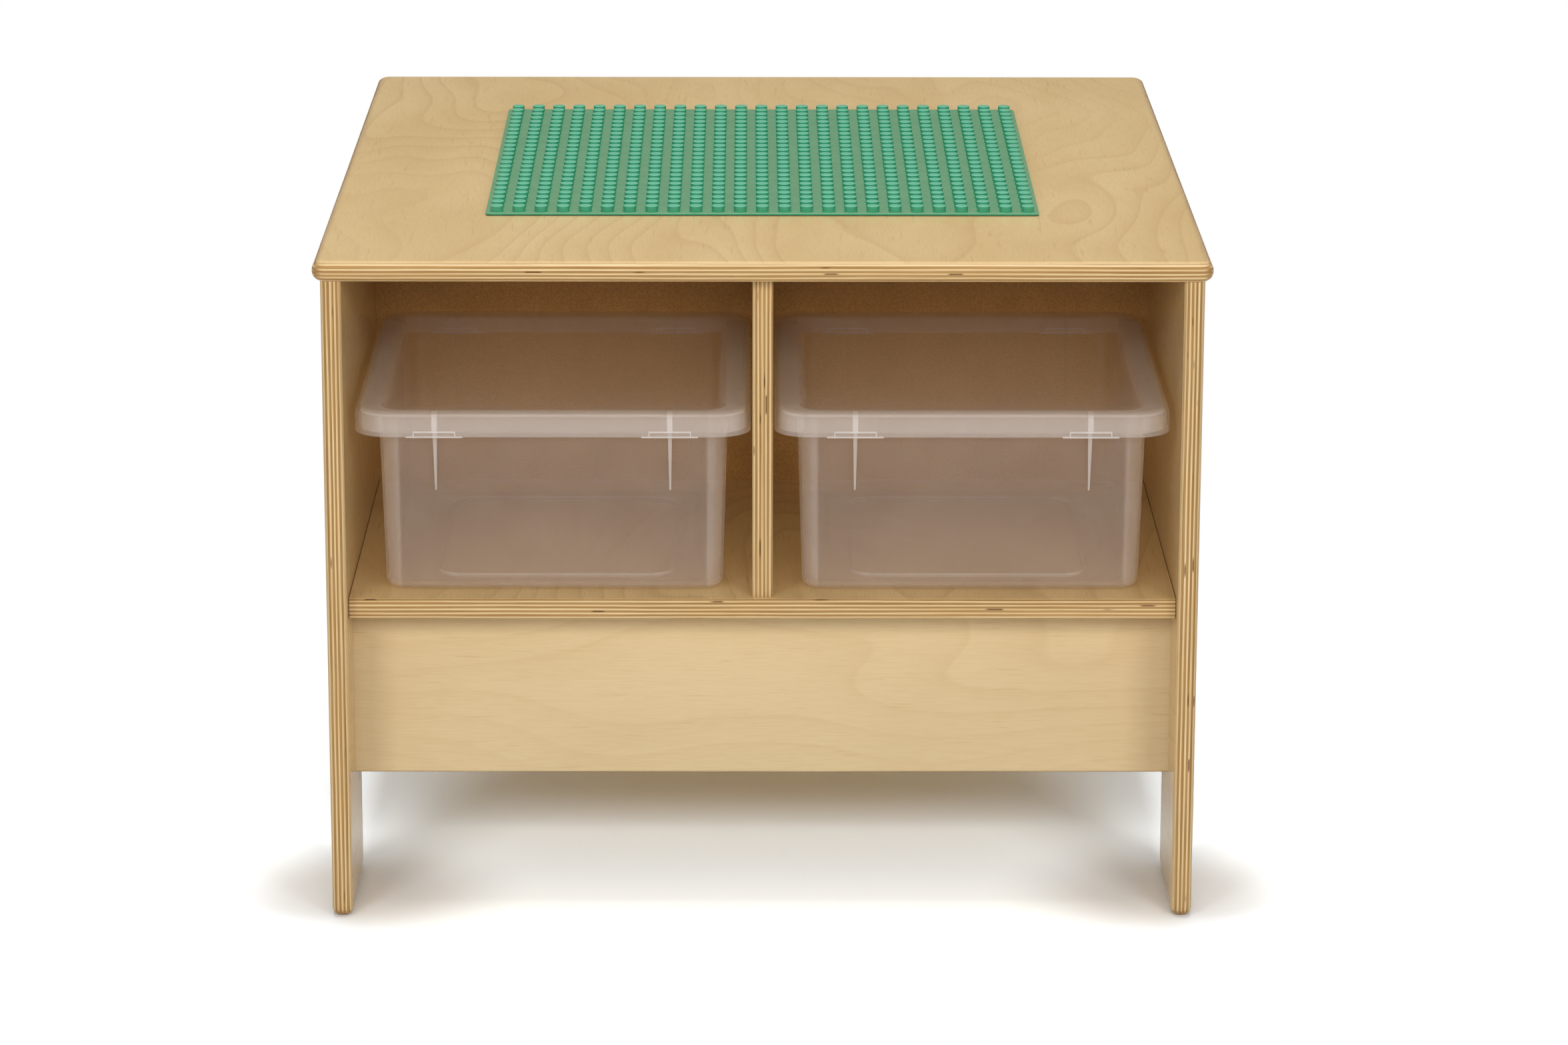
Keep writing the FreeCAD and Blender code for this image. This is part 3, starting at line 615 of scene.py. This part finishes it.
# %% Where a tub stands
places = [f"{end}_{hand}" for end in ("front", "rear") for hand in ("left", "right")]
tub_low, tub_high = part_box("front_right_tub")
TUB_MIDDLE = ((tub_low[X] + tub_high[X]) / 2, -(tub_low[Y] + tub_high[Y]) / 2)
TUB_HEIGHT = tub_high[Z] - tub_low[Z]
RIM_REACH = 12.9 * MM
DRAFT = 0.036
tub_half = [(tub_high[axis] - tub_low[axis]) / 2 - RIM_REACH for axis in (X, Y)]


def from_middle(x, y):
    """Distances from the middle of a tub; the four mirror each other, so x and y lose their signs."""
    return [abs(abs(value) - middle) for value, middle in zip((x, y), TUB_MIDDLE)]


def at_front(y):
    """1 at the wall that faces out of the bay."""
    return ramp(abs(y) - TUB_MIDDLE[Y], tub_half[Y] - 22 * MM, tub_half[Y] - 12 * MM)


print("half width and depth of a tub's wall at its rim: %.4f %.4f" % tuple(tub_half))

# %% Where a tub is thick
RIB_SPACING = 166.0 * MM
FLOOR_STEP = (-22 * MM, -20 * MM)


def tub_masks(place):
    """Masks of the places where a look goes through more plastic than at a plain wall, or less.

    The wall leans in by the draft, so the distance outside it grows with the depth below the rim.
    """
    x, y, z = split(place)
    below = tub_high[Z] - z
    beside = from_middle(x, y)
    outside = [value + below * DRAFT - reach for value, reach in zip(beside, tub_half)]
    lean = facing(place)
    flat = ramp(lean[Z], 0.4, 0.8)
    rib = fade(abs(beside[X] - RIB_SPACING / 2), 1.7 * MM, 2.2 * MM) * fade(below, 68 * MM, 72 * MM)
    floor = fade(outside[X], *FLOOR_STEP) * fade(outside[Y], *FLOOR_STEP)
    near_half = ramp(abs(y) - TUB_MIDDLE[Y], 0.0, 60 * MM)
    step = ramp(below, TUB_HEIGHT - 4 * MM, TUB_HEIGHT - 3.6 * MM) * (1.0 - flat)
    rear = ramp(TUB_MIDDLE[Y] - abs(y), tub_half[Y] - 16 * MM, tub_half[Y] - 6 * MM)
    return {
        "front": at_front(y),
        "corner": ramp(smaller(lean[X], lean[Y]), 0.12, 0.30),
        "foot": ramp(below, TUB_HEIGHT - 9 * MM, TUB_HEIGHT - 1 * MM) * (1.0 - flat * 0.7),
        "rib": rib * ramp(outside[Y], 0.4 * MM, 0.8 * MM),
        "flange": fade(below, 2.2 * MM, 2.6 * MM) * flat,
        "step": floor * near_half * step,
        "rear": rear,
        "quiet": larger(rear, floor * (1.0 - near_half)),
    }


print("ribs %.0f mm apart, a step in the floor %.0f mm inside the wall"
      % (RIB_SPACING / MM, -FLOOR_STEP[1] / MM))

# %% Milky plastic
DULL = (paint(224, 209, 197), paint(231, 217, 205))
BRIGHT = paint(240, 234, 229)
GLOWING = paint(240, 231, 222)
GLOW = 0.10
OUTLINE_POWER = 7.0
REFRACTION = 1.45
GLOSS = 0.6


def milky(share, bright, outline, cloud, grain, start):
    """White plastic of which only a share is there, under a gloss that is all there.

    More of it is there at a grazing look, which goes a longer way through the wall. The gloss is what the
    outer face mirrors, by Fresnel's law; a face seen from inside the wall has none.
    """
    white = mixed(bright, mixed(ramp(cloud, 0.3, 0.7), *DULL), BRIGHT)
    grazing = start.node("LayerWeight", None, {"Blend": 0.5}, output="Facing")
    share = share + grazing.math("POWER", grazing, OUTLINE_POWER) * outline
    relief = start.node("Bump", None, {"Height": cloud, "Distance": 0.01 * MM, "Strength": 1.0})
    body = start.node("BsdfPrincipled", None, {"Base Color": white, "Roughness": 0.3 + grain * 0.12,
                                               "Alpha": share, "Normal": relief})
    glow = start.node("BsdfTranslucent", None, {"Color": GLOWING})
    body = start.node("MixShader", None, {0: GLOW, 1: body, 2: glow})
    mirror = start.node("BsdfGlossy", None, {"Color": WHITE, "Roughness": 0.09, "Normal": relief})
    inside = start.node("NewGeometry", output="Backfacing")
    strength = start.node("Fresnel", None, {"IOR": REFRACTION}) * (1.0 - inside) * GLOSS
    whole = start.node("MixShader", None, {0: strength, 1: body, 2: mirror})
    start.node("OutputMaterial", None, {"Surface": whole})


print("%.0f percent of the plastic glows" % (100 * GLOW))


# %% How much milk
def cloud_and_grain(place):
    """The slow cloudiness of the plastic and the fine grain of its surface."""
    return noise(place, even(40.0), 3.0, 0.6), noise(place, even(700.0), 2.0, 0.6)


def milk(thin, cloudiness, cloud, masks, shares):
    """The share of plastic: that of a thin wall, a little by its clouds, and each mask times its own."""
    total = thin + cloud * cloudiness
    for name, share in shares.items():
        total = total + masks[name] * share
    return total


# %% Milky tubs
TUB_THIN, TUB_CLOUDINESS = 0.029, 0.024
TUB_SHARES = {"front": 0.027, "corner": 0.11, "foot": 0.34, "rib": 0.3, "flange": 0.36, "step": 0.06}
TUB_OUTLINE, QUIETER, REAR_CLEARER = 0.42, 0.4, 0.8

tub_plastic, start, place = new_finish("milky_tub")
cloud, grain = cloud_and_grain(place)
masks = tub_masks(place)
share = milk(TUB_THIN, TUB_CLOUDINESS, cloud, masks, TUB_SHARES) * (1.0 - masks["rear"] * REAR_CLEARER)
outline = TUB_OUTLINE - masks["quiet"] * QUIETER
milky(share, masks["rib"] + masks["flange"], outline, cloud, grain, start)
dress([f"{corner}_tub" for corner in places], tub_plastic)

# %% Where a lid's tab edges show lines and a painted highlight
lid_low, lid_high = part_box("front_right_lid")
TAB_HALF, LAND_HALF, LINE = 15.0 * MM, 20.0 * MM, 0.2 * MM
TAB_TOP, LAND_TOP, TAB_WALL = 4.5 * MM, 0.9 * MM, 0.8 * MM


def tab_edges_and_highlights(x, z, lean):
    """Pale lines round each snap tab, its two sides, its top and the land below it: more plastic seen
    edge-on, and a painted highlight where these edges catch light.
    """
    above = z - lid_low[Z]
    aside = abs(abs(abs(x) - TUB_MIDDLE[X]) - RIB_SPACING / 2)
    in_tab = fade(aside, TAB_HALF - LINE, TAB_HALF)
    in_land = fade(aside, LAND_HALF - LINE, LAND_HALF)
    under_top = fade(above, TAB_TOP - LINE, TAB_TOP)
    sides = ramp(aside, TAB_HALF - TAB_WALL, TAB_HALF - TAB_WALL + LINE)
    top = ramp(above, TAB_TOP - 1.0 * MM, TAB_TOP - TAB_WALL)
    land = in_land * fade(above, LAND_TOP - LINE, LAND_TOP)
    return larger(in_tab * under_top * larger(sides, top), land) * ramp(lean[Y], 0.5, 0.8)


print("tabs %.0f mm wide on lands of %.0f mm" % (2 * TAB_HALF / MM, 2 * LAND_HALF / MM))

# %% Milky lids
LID_THIN, LID_CLOUDINESS, LID_OUTLINE = 0.015, 0.02, 0.14
LID_SHARES = {"border": 0.16, "skirt": 0.035, "lines": 0.3}
BORDER_REAR_CLEARER, BORDER_FRONT_CLEARER = 0.62, 0.55
lid_half = [(lid_high[axis] - lid_low[axis]) / 2 for axis in (X, Y)]

lid_plastic, start, place = new_finish("milky_lid")
cloud, grain = cloud_and_grain(place)
x, y, z = split(place)
front = at_front(y)
# Painted highlight: the tab edges are made paler, as where they catch light, and denser, as more plastic is
# seen edge-on there
lines = tab_edges_and_highlights(x, z, facing(start))
skirt = ramp(lid_high[Z] - z, 0.5 * MM, 9.0 * MM) * (0.15 + front * 0.85)
inward = smaller(*[reach - value for reach, value in zip(lid_half, from_middle(x, y))])
rear = ramp(TUB_MIDDLE[Y] - abs(y), lid_half[Y] - 40 * MM, lid_half[Y] - 20 * MM)
border = fade(inward, 20 * MM, 25 * MM)
border = border * (1.0 - rear * BORDER_REAR_CLEARER) * (1.0 - front * BORDER_FRONT_CLEARER)
masks = {"border": border, "skirt": skirt, "lines": lines}
share = milk(LID_THIN, LID_CLOUDINESS, cloud, masks, LID_SHARES)
milky(share, skirt + lines + border, LID_OUTLINE, cloud, grain, start)
dress([f"{corner}_lid" for corner in places], lid_plastic)

# %% [markdown]
# ## The white floor
# Furniture is often photographed on white paper, with only the shadow near it kept. A plain white plane
# turns grey away from the lamps, so this disc melts into plain white a hand's width from the table. Under
# the table it is a matt white that takes the shadow. It looks brighter to the camera than it is to the
# other light, so the shadow stays light without more light on the table. Round the front feet it is left
# darker to the camera: painted shade for their contact shadows.

# %% The disc
FLOOR_RADIUS, FLOOR_DROP, FLOOR_POINTS = 3.0, 0.2 * MM, 96
disc_turn = np.arange(FLOOR_POINTS) * 2 * np.pi / FLOOR_POINTS
disc = FLOOR_RADIUS * np.stack([np.cos(disc_turn), np.sin(disc_turn)], axis=-1)
level = np.full((FLOOR_POINTS, 1), cad_box[0][Z] - FLOOR_DROP)
floor_points = np.append(disc, level, axis=1)
floor_mesh = bpy.data.meshes.new("floor")
floor_mesh.from_pydata(floor_points.tolist(), [], [list(range(FLOOR_POINTS))])
floor = bpy.data.objects.new("floor", floor_mesh)
scene.collection.objects.link(floor)
print("floor:", FLOOR_POINTS, "points on a circle of radius", FLOOR_RADIUS)


# %% What is looked at
def looks(start):
    """1 for a ray that looks, straight or in a reflection or through glass, and 0 for bounced light."""
    camera, glossy, through = (start.node("LightPath", output=f"Is {way} Ray")
                               for way in ("Camera", "Glossy", "Transmission"))
    return larger(camera, larger(glossy, through))


# %% White paper
FRONT_FOOT = (0.301, -0.30)
MATT = (0.8, 0.8, 0.8, 1.0)
LOOKED_AT = (1.66, 1.76, 1.82, 1.0)
MELTING = (0.02, 0.14)
FOOT_SHADE_REACH = (0.03, 0.14)

paper, start, place = new_finish("white_sweep")
looked_at = looks(start)
x, y = split(place)[:2]
from_table = [larger(abs(value) - reach, 0.0) for value, reach in zip((x, y), cad_box[1])]
away = ramp(length(*from_table), *MELTING) * looked_at
# Painted shade: round the front feet the floor is shown darker to the camera, for the feet's contact shadows
from_foot = length(abs(x) - FRONT_FOOT[X], y - FRONT_FOOT[Y])
sweep = mixed(ramp(from_foot, *FOOT_SHADE_REACH), WHITE, LOOKED_AT)
near = start.node("BsdfDiffuse", None, {"Color": mixed(looked_at, MATT, sweep)})
far = start.node("Emission", None, {"Color": WHITE, "Strength": 1.0})
start.node("OutputMaterial", None, {"Surface": start.node("MixShader", None, {0: away, 1: near, 2: far})})
floor.data.materials.append(paper)
print(paper.name, "with", len(paper.node_tree.nodes), "nodes")

# %% [markdown]
# ## An even white world
# The room round a studio table is pale and sends a little light from every side, which keeps shadows from
# going black. A picture of a room would colour the plastic, so the world is one even white: full white
# where it is looked at, and much weaker as light.

# %% The world
AMBIENT = 0.3
world = bpy.data.worlds.new("studio")
scene.world = world
world.use_nodes = True
world.node_tree.nodes.clear()
start = Shade(world.node_tree)
strength = AMBIENT + looks(start) * (1.0 - AMBIENT)
backdrop = start.node("Background", None, {"Color": WHITE, "Strength": strength})
start.node("OutputWorld", None, {"Surface": backdrop})
print("world: light", AMBIENT, "looked at 1.0")

# %% [markdown]
# ## Soft boxes
# The photograph tells where its lamps stood. Each leg throws a soft slanting shadow inwards, so two boxes
# stood left and right in front. The shelf's shadow on the apron is short, so they stood low. The top is as
# bright as the apron, so one more box hung above. A weak one in the middle fills the shadows, and one
# behind lights the back. Lacquer seen at a low angle would mirror these low boxes as one white sheet, so
# only the box above shows in reflections.

# %% Five boxes
TABLE = Vector((0.0, 0.0, 0.3))


def soft_box(name, place, width, height, watts, mirrored=False):
    """One rectangular lamp at a place, turned towards the table."""
    lamp = bpy.data.lights.new(name, "AREA")
    lamp.shape = "RECTANGLE"
    lamp.size, lamp.size_y, lamp.energy = width, height, watts
    box = bpy.data.objects.new(name, lamp)
    box.location = place
    box.visible_glossy = mirrored
    box.rotation_euler = (TABLE - Vector(place)).to_track_quat("-Z", "Y").to_euler()
    scene.collection.objects.link(box)
    print(name, "at", place, "with", watts, "watts")


soft_box("left_box", (-1.25, -2.7, 1.35), 0.8, 0.6, 20.5)
soft_box("right_box", (1.25, -2.7, 1.35), 0.8, 0.6, 20.5)
soft_box("front_box", (0.0, -3.0, 1.35), 1.2, 0.7, 17.0)
soft_box("high_box", (0.0, -0.1, 2.7), 1.4, 1.0, 38.5, mirrored=True)
soft_box("back_box", (0.0, 3.0, 1.1), 1.6, 0.5, 24.0)

# %% [markdown]
# ## A dark card
# Seen at a low angle, lacquer mirrors whatever stands behind the table. White there would wash out the
# grain. Photographers stand a dark card behind the object, above what the camera sees, and so does this
# scene. Only reflections meet the card, so it takes no light away from the table.

# %% The card
CARD_Y, CARD_HALF, CARD_LOW, CARD_HIGH = 2.0, 2.5, 0.35, 2.4
CARD_GREY = 0.15
card_corners = [(-CARD_HALF, CARD_Y, CARD_LOW), (CARD_HALF, CARD_Y, CARD_LOW),
                (CARD_HALF, CARD_Y, CARD_HIGH), (-CARD_HALF, CARD_Y, CARD_HIGH)]
card_mesh = bpy.data.meshes.new("dark_card")
card_mesh.from_pydata(card_corners, [], [(0, 1, 2, 3)])
card = bpy.data.objects.new("dark_card", card_mesh)
scene.collection.objects.link(card)
for way in ("camera", "diffuse", "transmission", "shadow", "volume_scatter"):
    setattr(card, f"visible_{way}", False)
card_finish, start, place = new_finish("dark_card")
start.node("OutputMaterial", None, {"Surface": start.node("Emission", None, {"Strength": CARD_GREY})})
card_mesh.materials.append(card_finish)
print("card: %.1f m wide, from %.2f to %.2f m up" % (2 * CARD_HALF, CARD_LOW, CARD_HIGH))

# %% [markdown]
# ## The camera
# Its place, direction and lens come from fitting the table's corners to the photograph. Three angles say
# more than a matrix: how far it turns aside, looks down and leans over.

# %% Aim the camera
LENS, SENSOR, FAR = 124.286, 36.0, 50.0
YAW, TILT, ROLL = np.radians([0.38624, 15.17588, 0.13233])
EYE = Vector((-0.00973, -4.03024, 1.29176))
forward = Vector((np.sin(YAW) * np.cos(TILT), np.cos(YAW) * np.cos(TILT), -np.sin(TILT)))
level = Vector((np.cos(YAW), -np.sin(YAW), 0.0))
dip = Vector((-np.sin(TILT) * np.sin(YAW), -np.sin(TILT) * np.cos(YAW), -np.cos(TILT)))
right = np.cos(ROLL) * level - np.sin(ROLL) * dip
down = np.sin(ROLL) * level + np.cos(ROLL) * dip
print("the camera looks along", tuple(round(value, 3) for value in forward))

# %% Set up the camera
lens = bpy.data.cameras.new("camera")
lens.lens, lens.sensor_width, lens.sensor_fit, lens.clip_end = LENS, SENSOR, "HORIZONTAL", FAR
camera = bpy.data.objects.new("camera", lens)
camera.matrix_world = Matrix.Translation(EYE) @ Matrix((right, -down, -forward)).transposed().to_4x4()
scene.collection.objects.link(camera)
scene.camera = camera
print("camera at", tuple(round(value, 3) for value in EYE), "lens %.1f mm" % LENS)
